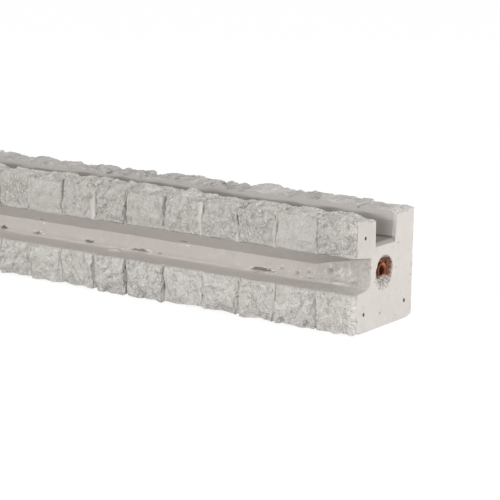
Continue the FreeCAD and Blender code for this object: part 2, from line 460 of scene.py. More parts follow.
stones = {
    "pressMargin": 1.0 * mm,
    "missed": -6 * mm,            # anything lower is the slot, not the stone
    "reach": 200 * mm,
    "rough": {                    # how rough each stone is, from the socket end
        "frontHigh": (0.85, 0.35, 0.85, 0.75, 0.6, 0.5, 0.85, 0.6, 0.35, 0.8, 0.7),
        "frontLow": (0.6, 0.65, 0.7, 0.6, 0.6, 0.85, 0.75, 0.6, 0.5, 0.7, 0.7),
    },
    "facetLevels": (              # size of the facets, their slope, and how much roughness counts
        (18 * mm, 0.20, 0.3),
        (9.0 * mm, 0.55, 0.85),
        (4.6 * mm, 0.70, 1.0),
    ),
    "longer": 1.7,                # how much longer than wide the facets are
    "crack": 1.2 * mm,
    "crackHalf": 0.9 * mm,
    "most": 2.8 * mm,             # relief beyond the solid is held near this
    "grain": 0.4 * mm,
    "grainSize": 2.8 * mm,
    "jointDepth": 1.7 * mm,
    "jointHalf": 1.2 * mm,
    "jointReach": 14 * mm,
    "jointWander": 0.9 * mm,
    "joints": {                   # how deep each joint is
        "frontHigh": (0.7, 0.45, 0.4, 0.35, 1.0, 0.3, 0.35, 0.9, 0.35, 0.6),
        "frontLow": (0.25, 0.25, 0.45, 0.4, 0.65, 0.5, 0.6, 0.4, 0.7, 0.5),
    },
    "flanks": {                   # width in mm of the smooth flank left of each joint
        "frontHigh": (2, 5, 5, 7, 0, 3, 6, 0, 4, 3),
        "frontLow": (3, 4, 3, 4, 3, 2, 3, 3, 3, 2),
        "topFar": (0,) * courseCount,
    },
    "topLower": (2.0, 3.8, 3.4, 1.8, 1.0),     # how much lower the first near top stones lie, in mm
    "mouthCalm": 6 * mm,
    "mouthShare": {"front": 0.25, "top": 0.7, "back": 1.0},
    "endCalm": 5 * mm,
    "arrisChip": 3.2 * mm,
    "arrisReach": 9 * mm,
    "endChip": {                  # depth and reach of the rubbed arris round the end faces
        "frontLow": (3.8 * mm, 9 * mm), "frontHigh": (0.9 * mm, 5 * mm), "topNear": (0.5 * mm, 4 * mm),
        "topFar": (2.2 * mm, 9 * mm), "back": (1.6 * mm, 6 * mm),
    },
    "endBites": (                 # chips out of the end arris: band, place across it, half width, depth
        ("topFar", 41.0, 4.0, 2.4), ("topFar", 28.0, 2.5, 1.2), ("frontHigh", 107.0, 3.5, 1.6),
        ("frontHigh", 84.0, 3.0, 1.4), ("frontLow", 12.0, 4.0, 1.6), ("topNear", -30.0, 3.0, 1.4),
    ),
}
rockStretches = {
    "frontLow": "front", "frontHigh": "front", "topNear": "top", "topFar": "top", "back": "back",
}
roughArrises = {                  # the broken corners of each band, as the places across it
    "frontLow": (post["bedDrop"],), "frontHigh": (topZ,), "topNear": (-half,), "topFar": (half,),
    "back": (post["bedDrop"], topZ),
}
slotMouths = {
    "frontLow": post["bedDrop"] + band, "frontHigh": topZ - band,
    "topNear": -half + band, "topFar": half - band,
}


def courseOf(x):
    return np.clip(np.searchsorted(-joints, -x, side="right") - 1, 0, courseCount - 1)


def crowdTowardsJoints(ringX):
    course = courseOf(ringX)
    start, stop = joints[course], joints[course + 1]
    share = (ringX - start) / (stop - start)
    share -= post["jointPull"] * np.sin(2 * np.pi * share) / (2 * np.pi)
    return start + (stop - start) * share


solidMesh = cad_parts["concrete_body"].data
solidTree = BVHTree.FromPolygons(
    [vertex.co.copy() for vertex in solidMesh.vertices],
    [tuple(face.vertices) for face in solidMesh.polygons])
facing = {
    "front": Vector((0, -1, 0)), "top": Vector((0, 0, 1)),
    "back": Vector((0, 1, 0)), "under": Vector((0, 0, -1)),
}
datum = {"front": half, "top": topZ, "back": half, "under": -post["bedDrop"]}


def solidRise(side, x, across):
    # how far the solid stands off the datum here, looking straight at one side
    outward = facing[side]
    spot = Vector((x, across, 0)) if side in ("top", "under") else Vector((x, 0, across))
    hit = solidTree.ray_cast(spot + outward * stones["reach"], -outward)[0]
    return hit.dot(outward) - datum[side] if hit else 0.0


def noiseOver(along, across, size, layer, octaves=3):
    # fractal noise at arrays of places, from -1 to 1 or so
    spots = np.stack(np.broadcast_arrays(along / size, across / size), axis=-1)
    flat = [noise.fractal((u, v, layer), 0.75, 2.1, octaves) for u, v in spots.reshape(-1, 2)]
    return np.array(flat).reshape(spots.shape[:-1])


def nearest(points, seeds):
    apart = ((points[:, None, :] - seeds[None, :, :]) ** 2).sum(axis=-1)
    apart.sort(axis=1)
    return apart[:, 0], apart[:, 1]


def listed(setting, stretch, number, otherwise):
    known = stones[setting].get(stretch, ())
    return known[number] if number < len(known) else otherwise


def stoneRoughness(stretch, course):
    return listed("rough", stretch, course, 0.7 + 0.3 * chance(stretch, "rough", course))


def carveStone(stretch, course, along, across):
    # a broken face: flat facets at three sizes that lean one way on each stone, cracks and grain
    die = np.random.default_rng([len(stretch) * 7 + ord(stretch[-1]), course])
    rough = stoneRoughness(stretch, course)
    lean = math.radians(75) + math.radians(40) * die.uniform(-1, 1)
    u = (along * math.cos(lean) + across * math.sin(lean)) / stones["longer"]
    v = across * math.cos(lean) - along * math.sin(lean)
    places = np.stack([u.ravel(), v.ravel()], axis=1)
    low, high = places.min(axis=0), places.max(axis=0)
    relief = np.zeros(len(places))
    for level, (size, slope, counts) in enumerate(stones["facetLevels"]):
        number = max(3, int(np.prod(high - low + size) / size ** 2))
        ups = die.uniform(low - size / 2, high + size / 2, (number, 2))
        downs = die.uniform(low - size / 2, high + size / 2, (number, 2))
        nearUp = nearest(places, ups)[0]
        nearDown, nextDown = nearest(places, downs)
        strength = (1 - counts + counts * rough) * slope / (1.4 * size)
        relief += strength * (nearDown - nearUp)
        if level == 1:
            border = (nextDown - nearDown) / (2 * size)
            crack = np.clip(1 - border / stones["crackHalf"], 0, 1)
            relief -= stones["crack"] * max(0.0, rough - 0.35) * crack * (nearDown > nearUp)
    relief = stones["most"] * np.tanh(relief.reshape(along.shape) / stones["most"])
    grain = (0.4 + 0.6 * rough) * stones["grain"]
    return relief + grain * noiseOver(along, across, stones["grainSize"], course * 1.7)


def jointGroove(stretch, x, across, level):
    # the narrow joint between two courses, deeper here and shallower there; the stone left of it may have
    # a smooth flank, which takes the place of the carving there
    depth = np.zeros_like(level)
    kept = np.ones_like(level)
    for number in range(1, courseCount):
        fromJoint = x - joints[number]
        rows = np.nonzero(np.abs(fromJoint[:, 0]) < stones["jointReach"])[0]
        wander = noiseOver(across, np.full_like(across, number * 0.05), 12 * mm, len(stretch))
        along = fromJoint[rows] - stones["jointWander"] * wander
        deep = listed("joints", stretch, number - 1, 0.55 + 0.4 * chance(stretch, "deep", number))
        deep = deep + 0.35 * noiseOver(across, across * 0, 9 * mm, number * 2.3)
        cut = np.clip(1 - np.abs(along) / stones["jointHalf"], 0, 1)
        depth[rows] += stones["jointDepth"] * np.clip(deep, 0.05, None) * cut
        width = listed("flanks", stretch, number - 1, 2.5 + 2.5 * chance(stretch, "flank", number)) * mm
        if width > mm:
            crest = level[np.abs(fromJoint[:, 0] + width).argmin()]
            foot = level[np.abs(fromJoint[:, 0]).argmin()]
            ragged = 0.9 + 0.9 * noiseOver(across, across * 0, 13 * mm, number * 4.1)
            flank = np.clip(-along / np.clip(width * ragged, 0.2 * mm, None), 0, 1)
            within = (along < 0) & (flank < 1)
            sloped = foot + (crest - foot) * flank
            depth[rows] += np.where(within, level[rows] - sloped, 0)
            kept[rows] *= np.where(within, 0.12 + 0.88 * flank ** 4, 1)
    return depth, kept


def arrisWear(stretch, x, across):
    # corners between two rock faces are knocked off by a little here and a lot there
    worn = np.zeros(np.broadcast_shapes(x.shape, across.shape))
    for corner in roughArrises[stretch]:
        near = np.clip(1 - np.abs(across - corner) / stones["arrisReach"], 0, 1) ** 1.6
        knocked = 0.55 + 0.9 * noiseOver(x, np.full_like(x, corner), 17 * mm, 3.3)
        worn += stones["arrisChip"] * np.clip(knocked, 0, 1.6) * near
    return worn


def endWear(stretch, x, across):
    # the arris round the end faces is rubbed round, with a bite out of it here and there
    fromEnd = np.minimum(endX - x, x - footX)
    deepest, reach = stones["endChip"][stretch]
    near = np.clip(1 - fromEnd / reach, 0, 1) ** 2
    rubbed = 0.75 + 0.6 * noiseOver(across, np.full_like(across, len(stretch) * 0.01), 8 * mm, 5.1)
    worn = deepest * np.clip(rubbed, 0.2, 1.2) * near
    for bandName, place, halfWide, deep in stones["endBites"]:
        if bandName == stretch:
            apart = np.clip(1 - ((across / mm - place) / halfWide) ** 2, 0, 1)
            worn = worn + deep * mm * apart * np.clip(1 - (endX - x) / (4 * mm), 0, 1)
    return worn


def topSettle(x):
    # the first stones on the near top band lie lower, each by its own amount
    places, drops = [0.0], [0.0]
    for number, drop in enumerate(stones["topLower"]):
        start = 20 * mm if number == 0 else endX - joints[number] + 2 * mm
        places += [start, endX - joints[number + 1] - 2 * mm]
        drops += [drop * mm, drop * mm]
    return np.interp(endX - x, places + [places[-1] + 20 * mm], drops + [0.0])


def columnsOf(stretch):
    names = [name for name, share, y, z in plainOutline]
    first = names.index(stretch)
    return np.arange(first, first + post["cellsAcross"][stretch] + 1) % len(names)


def shapeBand(stretch, ringX):
    side = rockStretches[stretch]
    columns = columnsOf(stretch)
    across = np.array([plainOutline[i][2 if side == "top" else 3] for i in columns])[None, :]
    low, high = across.min() + stones["pressMargin"], across.max() - stones["pressMargin"]
    sampled = np.clip(across[0], low, high)
    x = ringX[:, None]
    hit = np.clip(ringX, footX + 0.05 * mm, endX - 0.05 * mm)
    level = np.array([[solidRise(side, along, place) for place in sampled] for along in hit])
    for row in level:
        held = np.nonzero(row > stones["missed"])[0]
        row[:] = np.interp(np.arange(len(row)), held, row[held])
    carved = np.zeros_like(level)
    course = courseOf(ringX)
    for number in range(courseCount):
        rows = np.nonzero(course == number)[0]
        along = np.broadcast_to(x[rows] - joints[number], (len(rows), across.shape[1]))
        carved[rows] = carveStone(stretch, number, along, np.broadcast_to(across, along.shape))
    calm = np.clip(np.minimum(endX - x, x - footX) / stones["endCalm"], 0, 1) * np.ones_like(level)
    if stretch in slotMouths:
        share = stones["mouthShare"][side]
        fromMouth = np.abs(across - slotMouths[stretch]) / stones["mouthCalm"]
        calm *= share + (1 - share) * np.clip(fromMouth, 0, 1)
    groove, kept = jointGroove(stretch, x, across, level)
    shaped = level + calm * (kept * carved - groove - arrisWear(stretch, x, across))
    shaped = shaped - endWear(stretch, x, across)
    if stretch == "topNear":
        shaped -= topSettle(x)
    return columns, shaped, kept


def shapeStones(ringX):
    rise = {side: np.zeros((len(ringX), len(plainOutline))) for side in facing}
    broken = {}
    for stretch, side in rockStretches.items():
        columns, band, broken[stretch] = shapeBand(stretch, ringX)
        rise[side][:, columns] = band
    for stretch, sign in (("frontLow", -1), ("arrisBack", 1)):
        corner = columnsOf(stretch)[0]
        drop = [solidRise("under", x, sign * (half - 0.8 * mm)) for x in ringX]
        drop[0] = drop[-1] = 0.0
        rise["under"][:, corner] = drop
    return rise, broken


ringX = crowdTowardsJoints(ringX)
rise, broken = shapeStones(ringX)
print("stones carved")


# the slots: mould marks, wavering edges, and the chips and blowholes along the front slot

slots = {
    "waver": 0.7 * mm,
    "waverSize": 42 * mm,
    "uneven": 0.28 * mm,
    "unevenSize": 12 * mm,
    "flaws": (                    # from the socket end, up from the floor's lower edge, half sizes, depth
        (489.6, 1.5, 5.5, 2.4, 4.5), (431.1, 18.6, 7, 3.0, 1.6), (438.9, 1.3, 9, 2.6, 1.5),
        (361.9, 1.0, 8, 2.4, 2.0), (319.1, -8.0, 9, 5.0, -1.8), (326.0, -4.0, 6, 2.0, 1.6),
        (290.0, -0.5, 15, 3.6, 1.5), (262.2, -0.5, 4, 2.4, 1.4), (228.6, 17.6, 6, 3.0, 2.6),
        (128.8, -0.3, 16, 3.2, 2.6), (105.2, 6.0, 4, 3.0, 0.8), (86.7, 4.5, 4, 3.6, 0.9),
        (71.0, 7.7, 5, 3.4, 0.8), (47.2, 12.0, 5, 3.8, 1.0), (67.0, -1.0, 15, 1.4, 1.2),
        (29.0, 10.0, 9, 6.0, -1.2), (35.0, -0.5, 12, 2.2, -1.4), (18.0, 5.0, 6, 4.0, 0.9),
    ),
}
frontSlot = ("slotLower", "slotFloor", "slotUpper")
topSlotFacing = {"topNearWall": (-1, 0), "topFloor": (0, -1), "topFarWall": (1, 0)}     # (y, z), inwards


def slotFlaws(x, upFloor):
    # depth of the chips and holes at one place of the front slot, and how much of a pale rim it has
    depth = rim = 0.0
    for fromEnd, up, halfLong, halfHigh, deep in slots["flaws"]:
        along = ((endX - x) / mm - fromEnd) / halfLong
        across = (upFloor / mm - up) / halfHigh
        if abs(along) < 1.6 and abs(across) < 1.6:
            ragged = 0.9 * noise.noise((x / (4 * mm), upFloor / (4 * mm), fromEnd))
            within = 1 - along ** 2 - across ** 2 + ragged
            depth += deep * mm * min(1.0, max(0.0, 1.2 * within))
            rim = max(rim, 1 - abs(within + 0.25) / 0.35)
    return depth, rim


def cornerRound(away):
    # how far a point of the inner corner moves off its wall and along it, by its distance from the corner
    radius = post["innerCorner"]
    turned = max(0.0, 1 - away / radius)
    angle = turned * math.pi / 4
    return radius * (1 - math.cos(angle)), radius * (turned - math.sin(angle))


def waver(x, layer):
    return slots["waver"] * lumps(x / slots["waverSize"], layer, 0)


def unevenFace(x, i, layer):
    return slots["uneven"] * lumps(x / slots["unevenSize"], i * 0.3, layer)


def roundFrontSlot(name, share, y, z, upFloor, arrisOut):
    # the lower wall is drawn out or in with its arris, and its inner corner is rounded
    if name == "slotLower" and share > 0:
        drawn = arrisOut * (1 - share) ** 2
        y -= drawn
        z -= lowerDraft * drawn
    if name in ("slotLower", "slotFloor"):
        off, along = cornerRound(abs(upFloor))
        y -= along if name == "slotLower" else off
        z += off if name == "slotLower" else along
    return y, z


def wearFrontSlot(name, share, y, z, x, i, upFloor):
    # wavering edges, an uneven face and the flaws; also how proud the place is, below 0 in a flaw
    inside = name == "slotFloor" or share > 0
    flaw, rim = slotFlaws(x, upFloor) if inside else (0.0, 0.0)
    bump = unevenFace(x, i, 2.0) if inside else 0
    if name == "slotLower":
        z -= flaw + bump
    elif name == "slotFloor":
        y += flaw + bump
        z += waver(x, 1.0) * (1 - share) + waver(x, 7.0) * share
    else:
        z += flaw + bump + waver(x, 7.0) * (1 - share)
    return y, z, rim * mm if rim > 0.1 else -0.6 * flaw


def followDraft(name, y, z, x, out, up):
    # a slot's mouth stays in line with its wall where the stone beside it rises or sinks
    return {
        "slotLower": (y, z - lowerDraft * out),
        "frontHigh": (y, z + upperDraft(x) * out),
        "topNearWall": (y - nearDraft * up, z),
        "topFar": (y + lowerDraft * up, z),
    }.get(name, (y, z))


def layRings(body, grid, ringX, rise):
    points = getPoints(body)
    hollow = np.zeros(len(points))
    lowerMouth = columnsOf("slotLower")[0]
    for r, x in enumerate(ringX):
        betweenEnds = 0 < r < len(ringX) - 1
        floorLow = Vector(sectionCorners(x)["slotFloor"])
        for i, (name, share, y, z) in enumerate(sectionOutline(x)):
            out, up = rise["front"][r, i], rise["top"][r, i]
            if name in frontSlot:
                upFloor = (Vector((y, z)) - floorLow).length * (-1 if name == "slotLower" else 1)
                y, z = roundFrontSlot(name, share, y, z, upFloor, rise["front"][r, lowerMouth])
                if betweenEnds:
                    y, z, hollow[grid[r, i]] = wearFrontSlot(name, share, y, z, x, i, upFloor)
            if name in topSlotFacing and betweenEnds and (share > 0 or name != "topNearWall"):
                bump = unevenFace(x, i, 9.0)
                y += bump * topSlotFacing[name][0]
                z += bump * topSlotFacing[name][1]
            y += rise["back"][r, i] - out
            z += up - rise["under"][r, i]
            if share == 0:
                y, z = followDraft(name, y, z, x, out, up)
            points[grid[r, i]] = (x, y, z)
    setPoints(body, points)
    return hollow


def blurred(field, reach):
    # mean over a square of cells, edges repeated
    for axis in (0, 1):
        padded = np.pad(field, [(reach, reach) if a == axis else (0, 0) for a in (0, 1)], mode="edge")
        total = np.cumsum(np.insert(padded, 0, 0, axis=axis), axis=axis)
        count = field.shape[axis]
        ahead = np.take(total, np.arange(2 * reach + 1, 2 * reach + 1 + count), axis=axis)
        field = (ahead - np.take(total, np.arange(count), axis=axis)) / (2 * reach + 1)
    return field


def saveFinishFields(body, grid, hollow):
    # how proud each place is (below 0 in a hollow), and how rough its stone is (0 off the rock)
    rock = np.zeros(len(hollow))
    course = courseOf(ringX)
    for stretch, side in rockStretches.items():
        columns = columnsOf(stretch)
        field = rise[side][:, columns]
        proud = field - blurred(field, 2)
        proud[:4] = proud[-4:] = 0
        hollow[grid[:, columns[1:-1]]] = proud[:, 1:-1]
        rough = np.array([stoneRoughness(stretch, number) for number in range(courseCount)])[course]
        stony = rough[:, None] * (0.08 + 0.92 * broken[stretch])
        if stretch == "topFar":
            stony *= 0.65
        if stretch in slotMouths:
            stony[:, 0 if stretch in ("frontHigh", "topFar") else -1] *= 0.4
        rock[grid[1:-1, columns]] = stony[1:-1]
    for name, values in (("hollow", hollow / mm), ("rock", rock)):
        attribute = body.data.attributes.new(name, "FLOAT", "POINT")
        attribute.data.foreach_set("value", values.astype(np.float32))


def refaceEnd(body, x):
    # the end face is laid anew between its moved outline and the holes in it
    points = getPoints(body)
    inPlane = np.abs(points[:, 0] - x) < 0.001 * mm
    body.data.vertices.foreach_set("select", np.zeros(len(points), dtype=bool))
    body.data.edges.foreach_set("select", np.zeros(len(body.data.edges), dtype=bool))
    flat = [all(inPlane[i] for i in face.vertices) for face in body.data.polygons]
    body.data.polygons.foreach_set("select", flat)
    bpy.context.tool_settings.mesh_select_mode = (False, False, True)
    inEditMode(body, lambda: bpy.ops.mesh.delete(type="FACE"))
    ends = np.empty(len(body.data.edges) * 2, dtype=np.int64)
    body.data.edges.foreach_get("vertices", ends)
    inPlane = np.abs(getPoints(body)[:, 0] - x) < 0.001 * mm
    body.data.edges.foreach_set("select", inPlane[ends[0::2]] & inPlane[ends[1::2]])
    bpy.context.tool_settings.mesh_select_mode = (False, True, False)
    inEditMode(
        body,
        lambda: bpy.ops.mesh.fill(use_beauty=True),
        selectAllMesh,
        lambda: bpy.ops.mesh.normals_make_consistent(inside=False),
    )


def flattenEnds(body):
    # the end faces keep their own flat shading
    across = np.empty(len(body.data.polygons) * 3)
    body.data.polygons.foreach_get("normal", across)
    smooth = np.abs(across.reshape(-1, 3)[:, 0]) < 0.999
    body.data.polygons.foreach_set("use_smooth", smooth)


hollow = layRings(body, grid, ringX, rise)
saveFinishFields(body, grid, hollow)
refaceEnd(body, endX)
refaceEnd(body, footX)
pick(body)
bpy.ops.object.shade_smooth_by_angle(angle=math.radians(15))
flattenEnds(body)
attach(body, "root")
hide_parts("concrete_body")
print("post shaped")


# the cast-in socket: a tube with a threaded bore and a flared foot, turned from its profile

def socketProfile():
    # (x, distance from the axis), from the bottom of the bore out to the mouth and back over the outside
    mouth, tail = socketHigh.x, socketLow.x
    outside = socket["outside"] - socket["clear"]
    bottom = tail + socket["footLength"] + socket["closedEnd"]
    profile = [(bottom, 0), (bottom, socket["bore"])]
    turns = int((mouth - socket["lip"] - bottom) / socket["threadPitch"])
    for turn in range(turns):
        start = mouth - socket["lip"] - (turns - turn) * socket["threadPitch"]
        for share, deep in ((0.1, 0), (0.45, 1), (0.6, 1), (0.95, 0)):
            away = socket["bore"] + deep * socket["threadDepth"]
            profile.append((start + share * socket["threadPitch"], away))
    profile += [(mouth - socket["lip"], socket["bore"]), (mouth, socket["bore"] + socket["lip"])]
    profile += [(mouth, outside - 0.9 * mm), (mouth - 0.5 * mm, outside), (mouth - 3 * mm, outside)]
    profile += [(tail + socket["footLength"], outside), (tail, socket["foot"] - socket["clear"]), (tail, 0)]
    return profile


def turnSocket():
    profile = socketProfile()
    deselectAll()
    bpy.ops.mesh.primitive_circle_add(vertices=len(profile), fill_type="NOTHING")
    tube = namedPrimitive("socketTube")
    setPoints(tube, np.array([(x, socketAxis.y, socketAxis.z + away) for x, away in profile]))
    pick(tube)
    last = len(profile) - 1
    for edge in tube.data.edges:
        edge.select = set(edge.vertices) == {0, last}
    bpy.context.tool_settings.mesh_select_mode = (False, True, False)
    inEditMode(tube, lambda: bpy.ops.mesh.delete(type="EDGE"))
    inEditMode(
        tube,
        selectAllMesh,
        lambda: bpy.ops.mesh.spin(steps=socket["around"], angle=2 * math.pi, dupli=False,
                                  center=(0, socketAxis.y, socketAxis.z), axis=(1, 0, 0)),
        selectAllMesh,
        lambda: bpy.ops.mesh.remove_doubles(threshold=0.001 * mm),
        lambda: bpy.ops.mesh.normals_make_consistent(inside=False),
    )
    return tube


def rustMouth(tube):
    # rust has eaten the rim unevenly, and swollen or pitted the first turns of the thread
    points = getPoints(tube)
    for i, (x, y, z) in enumerate(points):
        near = max(0.0, 1 - (socketHigh.x - x) / socket["eatenFrom"])
        spoke = Vector((0, y - socketAxis.y, z - socketAxis.z))
        if near > 0 and spoke.length > mm:
            size = socket["eatenSize"]
            lump = 0.5 + 0.8 * lumps(x / size, y / size, z / size)
            eaten = socket["eaten"] * near * min(1.0, max(0.0, lump))
            inward = -1 if spoke.length > 0.85 * socket["outside"] else 1
            points[i] += np.array(spoke.normalized()) * inward * eaten * 0.6
            points[i][0] -= eaten
    setPoints(tube, points)


tube = turnSocket()
rustMouth(tube)
pick(tube)
bpy.ops.object.shade_smooth_by_angle(angle=math.radians(35))
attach(tube, "root")
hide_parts("end_socket")
print("socket turned:", len(tube.data.polygons))


# finishes, as arithmetic on signals in a node tree

def addNode(tree, kind, settings=None, inputs=None):
    made = tree.nodes.new(kind)
    for key, value in (settings or {}).items():
        setattr(made, key, value)
    for key, value in (inputs or {}).items():
        if isinstance(value, Signal):
            tree.links.new(value.socket, made.inputs[key])
        else:
            made.inputs[key].default_value = value
    return made


class Signal:
    def __init__(self, tree, socket):
        self.tree = tree
        self.socket = socket

    def made(self, kind, settings=None, inputs=None, output=0):
        return Signal(self.tree, addNode(self.tree, kind, settings, inputs).outputs[output])

    def math(self, operation, first, second):
        return self.made("ShaderNodeMath", {"operation": operation}, {0: first, 1: second})

    def __add__(self, other):
        return self.math("ADD", self, other)

    __radd__ = __add__

    def __mul__(self, other):
        return self.math("MULTIPLY", self, other)

    __rmul__ = __mul__

    def __sub__(self, other):
        return self.math("SUBTRACT", self, other)

    def __rsub__(self, other):
        return self.math("SUBTRACT", other, self)

    def ramp(self, low, high):
        # 0 below low, 1 above high, smooth between; works downwards as well
        return self.made("ShaderNodeMapRange", {"interpolation_type": "SMOOTHSTEP"},
                         {"Value": self, "From Min": low, "From Max": high}, "Result")

    def blend(self, first, second):
        # colours mixed by this signal
        first, second = (c if isinstance(c, Signal) else (*c, 1) for c in (first, second))
        return self.made("ShaderNodeMix", {"data_type": "RGBA"}, {0: self, 6: first, 7: second}, 2)


class Finish:
    def __init__(self, name):
        self.material = bpy.data.materials.new(name)
        self.material.use_nodes = True
        self.tree = self.material.node_tree
        self.surface = self.tree.nodes["Principled BSDF"]
        self.place = Signal(self.tree, addNode(self.tree, "ShaderNodeTexCoord").outputs["Object"])
        axes = addNode(self.tree, "ShaderNodeSeparateXYZ", None, {0: self.place})
        self.x, self.y, self.z = (Signal(self.tree, axis) for axis in axes.outputs)
        self.tone = None

    def field(self, name):
        return self.place.made("ShaderNodeAttribute", {"attribute_name": name}, None, "Fac")

    def clouds(self, size, detail=4.0, rough=0.6):
        # noise with features of about this size, from 0 to 1 around a half
        return self.place.made("ShaderNodeTexNoise", None, {
            "Vector": self.place, "Scale": 1 / size, "Detail": detail, "Roughness": rough}, "Fac")

    def cells(self, size, place, output="Distance", feature="F1"):
        # scattered cells of about this size
        return self.place.made("ShaderNodeTexVoronoi", {"feature": feature},
                               {"Vector": place, "Scale": 1 / size}, output)

    def lot(self, size, place):
        # a chance for each cell, from 0 to 1
        return self.place.made("ShaderNodeSeparateColor", None, {0: self.cells(size, place, "Color")})

    def moved(self, place, shift):
        return self.place.made("ShaderNodeVectorMath", {"operation": "ADD"}, {0: place, 1: shift})

    def bent(self, size, twist, place):
        # places pushed about a little, so that what is laid on them isn't straight
        bend = self.place.made("ShaderNodeTexNoise", None, {
            "Vector": self.place, "Scale": 0.6 / size, "Detail": 2.0}, "Color")
        return self.place.made("ShaderNodeVectorMath", {"operation": "MULTIPLY_ADD"}, {
            0: bend, 1: (twist, twist, twist), 2: place})

    def leaning(self, lean, longer):
        # places squeezed along one slanting direction, so that what is laid on them is drawn out
        return self.place.made("ShaderNodeMapping", {"vector_type": "TEXTURE"}, {
            "Vector": self.place, "Rotation": (0, math.radians(lean), 0), "Scale": (longer, 1, 1)})

    def facets(self, size, twist, place):
        # ridges and creases of broken stone, from about -1 to 1
        spread = self.bent(size, twist, place)
        ups, downs = (self.cells(size, self.moved(spread, [shift * size] * 3)) for shift in (0.0, 7.3))
        return ups - downs

    def plates(self, size, twist):
        # flat pieces at heights of their own, from 0 to 1, with a step between neighbours
        return self.lot(size, self.bent(size, twist, self.place))

    def cracks(self, size, twist, place, shift=0.0):
        # 0 along a net of lines, growing away from them
        spread = self.moved(self.bent(size, twist, place), (0, 0, shift))
        return self.cells(size, spread, "Distance", "DISTANCE_TO_EDGE")

    def distance(self, x, y, z):
        return self.place.made("ShaderNodeVectorMath", {"operation": "DISTANCE"},
                               {0: self.place, 1: (x, y, z)}, "Value")

    def paint(self, mask, colour):
        self.tone = mask.blend(self.tone, colour)

    def apply(self, roughness, specular, relief=None, depth=0.0, strength=1.0):
        # the painted tone and the relief go to the surface
        self.tree.links.new(self.tone.socket, self.surface.inputs["Base Color"])
        self.surface.inputs["Roughness"].default_value = roughness
        self.surface.inputs["Specular IOR Level"].default_value = specular
        if relief:
            bump = addNode(self.tree, "ShaderNodeBump", None, {
                "Height": relief, "Distance": depth, "Strength": strength})
            self.tree.links.new(bump.outputs[0], self.surface.inputs["Normal"])

    def cover(self, obj):
        obj.data.materials.clear()
        obj.data.materials.append(self.material)


concrete = {
    "castTones": ((0.520, 0.482, 0.452), (0.585, 0.550, 0.520)),
    "stoneTones": ((0.520, 0.493, 0.462), (0.580, 0.553, 0.520)),
    "stonePale": (0.715, 0.687, 0.650),
    "stoneOlive": (0.520, 0.500, 0.435),
    "bloom": (0.640, 0.615, 0.585),
    "splashPale": (0.680, 0.655, 0.625),
    "splashDark": (0.400, 0.365, 0.335),
    # the tones from the chips to the pores are painted highlights and painted shade on the relief, in the
    # flaws and in the pores
    "chipHighlight": (0.720, 0.695, 0.660),
    "chipShade": (0.235, 0.220, 0.195),
    "strokeHighlight": (0.790, 0.766, 0.732),
    "strokeShade": (0.225, 0.209, 0.184),
    "edgeHighlight": (0.820, 0.796, 0.765),
    "crackShade": (0.180, 0.168, 0.148),
    "creaseShade": (0.170, 0.157, 0.137),
    "crestHighlight": (0.720, 0.700, 0.670),
    "hollowShade": (0.200, 0.186, 0.162),
    "rimHighlight": (0.880, 0.862, 0.840),
    "flawShade": (0.160, 0.146, 0.130),
    "flankHighlight": (0.720, 0.690, 0.660),
    "poreShade": (0.25, 0.23, 0.21),
    # painted shade deep in the top slot
    "slotShade": (0.290, 0.262, 0.236),
    "slotFloorShade": (0.190, 0.172, 0.155),
    "farStoneGrey": (0.340, 0.334, 0.326),
    "farWallGrey": (0.400, 0.388, 0.372),
    "scuffDark": (0.350, 0.328, 0.304),
    "scuffPale": (0.720, 0.700, 0.680),
    # painted light on the front slot's lower wall, then a darker tone towards its arris
    "ledgeLight": (0.720, 0.685, 0.650),
    "ledgeDark": (0.330, 0.302, 0.278),
    # the front slot greyer near the end, with painted shade on its upper wall
    "frontGreyAndShade": (0.330, 0.305, 0.285),
    "endGrime": (0.420, 0.400, 0.375),
    "crumbDark": (0.235, 0.216, 0.196),
    "crumbPale": (0.800, 0.780, 0.755),
    "stainTones": ((0.105, 0.030, 0.013), (0.300, 0.125, 0.062)),
    "roughness": 0.9,
    "specular": 0.25,
    "reliefDepth": 3.0 * mm,
}


def concreteFinish():
    finish = Finish("concrete")
    finish.patch = finish.clouds(11 * mm, 4.0, 0.65)
    finish.splash = finish.clouds(8 * mm, 5.0, 0.75)
    finish.speck = finish.clouds(2.6 * mm, 3.0, 0.7)
    finish.rough = finish.field("rock") * finish.x.ramp(endX - 0.1 * mm, endX - 0.7 * mm)
    finish.rock = finish.rough.ramp(0.05, 0.45)
    finish.plain = 1.0 - finish.rock
    finish.lowBand = finish.z.ramp(41 * mm, 38 * mm)
    finish.offEnd = finish.x.ramp(endX - 0.05 * mm, endX - 0.5 * mm)
    castTone(finish)
    relief = stoneMarks(finish) - castMarks(finish) * 0.5
    topSlotGrime(finish)
    farBandGrey(finish)
    frontSlotWear(finish)
    recessCrumbs(finish)
    endGrime(finish)
    recessStain(finish)
    finish.apply(concrete["roughness"], concrete["specular"], relief, concrete["reliefDepth"])
    return finish


def castTone(finish):
    # bare concrete: warm where it is cast smooth, greyer on the stones, paler at the end, and paler low down
    # where the low band gets painted light
    broad = finish.clouds(45 * mm, 3.0)
    nearEnd = (finish.x + (finish.patch - 0.5) * 14 * mm).ramp(endX - 26 * mm, endX - 3 * mm)
    stone = broad.blend(*concrete["stoneTones"])
    # the low band's stones get painted light; near the end they are just paler
    stone = (nearEnd * 0.45 + finish.lowBand * 0.75).blend(stone, concrete["stonePale"])
    stone = (finish.clouds(24 * mm, 2.0).ramp(0.52, 0.66) * 0.4).blend(stone, concrete["stoneOlive"])
    finish.tone = finish.rock.blend(broad.blend(*concrete["castTones"]), stone)
    finish.paint(finish.patch.ramp(0.40, 0.80) * 0.25, concrete["bloom"])
    finish.paint(finish.splash.ramp(0.55, 0.68) * finish.plain * 0.28, concrete["splashPale"])
    finish.paint(finish.splash.ramp(0.45, 0.33) * finish.plain * 0.22, concrete["splashDark"])


